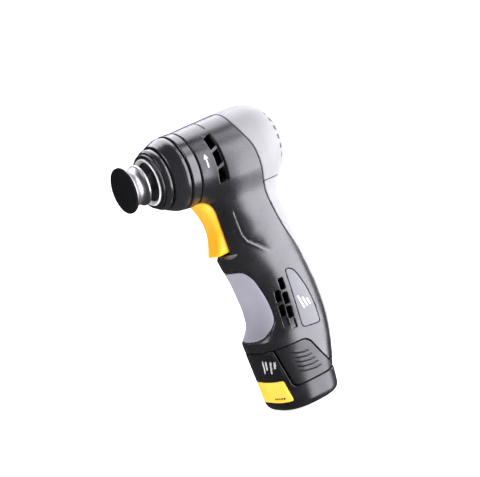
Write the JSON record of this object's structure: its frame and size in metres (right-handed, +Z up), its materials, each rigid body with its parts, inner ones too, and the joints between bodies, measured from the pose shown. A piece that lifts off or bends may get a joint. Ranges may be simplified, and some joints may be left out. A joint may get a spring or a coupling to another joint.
{
  "type": "cordless die grinder",
  "caption": "Cordless pistol-grip grinder with a planetary gearbox, a round hook-and-loop pad, a finger trigger and a slide-in battery.",
  "frame": {"origin": "centre of the flat underside of the battery, which the tool stands on", "axes": "+Z up along the grip, -X forward along the spindle, -Y the tool's left side"},
  "size_m": [0.119, 0.0564, 0.2012],
  "materials": {
    "hook_pad": "hook pile",
    "polished_steel": "polished",
    "steel": "ground",
    "gear_steel": "sintered",
    "copper": "enamelled wire",
    "brass": "bright",
    "nose_black": "satin",
    "nose_grey": "satin",
    "housing_plastic": "satin, fine grain",
    "grey_rubber": "soft matte",
    "grip_rubber": "soft matte",
    "badge": "satin silver",
    "white_mark": "printed",
    "trigger_orange": "satin",
    "inner_plastic": "moulded",
    "light_plastic": "moulded",
    "magnet": "ferrite",
    "board": "solder mask",
    "battery_plastic": "semi-gloss",
    "latch_plastic": "satin",
    "cell_wrap": "shrink wrap",
    "label": "printed film",
    "label_orange": "printed film",
    "bright_steel": "turned, polished"
  },
  "bodies": {
    "housing": {"housing_left": "housing_plastic", "housing_right": "housing_plastic", "rear_cap": "grey_rubber", "back_strap": "grey_rubber", "front_grip": "grip_rubber", "side_badges": "badge", "arrow_marks": "white_mark", "housing_screws": "steel", "gear_case": "nose_grey", "collar_ring": "nose_grey", "nose_ring": "nose_grey", "nose_lip": "nose_black", "nose_cup": "bright_steel", "dust_seal": "nose_black", "front_bearing": "steel", "ring_gear": "gear_steel", "gearbox_plate": "steel", "motor_can": "steel", "motor_magnets": "magnet", "motor_end_cap": "inner_plastic", "motor_bushings": "brass", "motor_brushes": "magnet", "switch_body": "inner_plastic", "control_board": "board", "board_transistors": "inner_plastic", "terminal_block": "inner_plastic", "terminal_blades": "brass"},
    "rotor": {"motor_shaft": "polished_steel", "sun_gear": "gear_steel", "motor_fan": "inner_plastic", "armature_core": "steel", "armature_windings": "copper", "commutator": "copper"},
    "spindle": {"spindle": "steel", "hook_disc": "hook_pad", "pad_holder": "polished_steel", "planet_carrier": "steel", "planet_pins": "polished_steel"},
    "planet_1": {"planet_gear_1": "gear_steel"},
    "planet_2": {"planet_gear_2": "gear_steel"},
    "planet_3": {"planet_gear_3": "gear_steel"},
    "trigger": {"trigger": "trigger_orange", "switch_plunger": "light_plastic", "trigger_spring": "polished_steel"},
    "battery": {"battery_base": "battery_plastic", "battery_case": "battery_plastic", "battery_cells": "cell_wrap", "cell_links": "steel", "battery_contacts": "brass", "battery_label": "label", "battery_patch": "label_orange", "battery_screws": "steel"},
    "latch_left": {"latch_left": "latch_plastic", "latch_springs_left": "polished_steel"},
    "latch_right": {"latch_right": "latch_plastic", "latch_springs_right": "polished_steel"}
  },
  "joints": [
    {"name": "rotor_spin", "type": "hinge", "parent": "housing", "child": "rotor", "pos_m": [0, 0, 0.173], "axis": [1, 0, 0], "continuous": true},
    {"name": "spindle_spin", "type": "hinge", "parent": "housing", "child": "spindle", "pos_m": [0, 0, 0.173], "axis": [1, 0, 0], "continuous": true},
    {"name": "planet_1_spin", "type": "hinge", "parent": "spindle", "child": "planet_1", "pos_m": [-0.0385, 0, 0.16175], "axis": [1, 0, 0], "continuous": true},
    {"name": "planet_2_spin", "type": "hinge", "parent": "spindle", "child": "planet_2", "pos_m": [-0.0385, 0.00974, 0.17863], "axis": [1, 0, 0], "continuous": true},
    {"name": "planet_3_spin", "type": "hinge", "parent": "spindle", "child": "planet_3", "pos_m": [-0.0385, -0.00974, 0.17863], "axis": [1, 0, 0], "continuous": true},
    {"name": "trigger_press", "type": "slide", "parent": "housing", "child": "trigger", "axis": [1, 0, 0], "range_m": [0, 0.005], "stiffness_N_per_m": 800, "springref_m": -0.004},
    {"name": "battery_slide", "type": "slide", "parent": "housing", "child": "battery", "axis": [0, 0, -1], "range_m": [0, 0.075]},
    {"name": "latch_left_press", "type": "slide", "parent": "battery", "child": "latch_left", "axis": [0, 1, 0], "range_m": [0, 0.0015], "stiffness_N_per_m": 1500, "springref_m": -0.002},
    {"name": "latch_right_press", "type": "slide", "parent": "battery", "child": "latch_right", "axis": [0, -1, 0], "range_m": [0, 0.0015], "stiffness_N_per_m": 1500, "springref_m": -0.002}
  ],
  "couplings": [
    {"joint": "spindle_spin", "follows": "rotor_spin", "ratio": 0.2},
    {"joint": "planet_1_spin", "follows": "rotor_spin", "ratio": -0.53333},
    {"joint": "planet_2_spin", "follows": "rotor_spin", "ratio": -0.53333},
    {"joint": "planet_3_spin", "follows": "rotor_spin", "ratio": -0.53333}
  ]
}
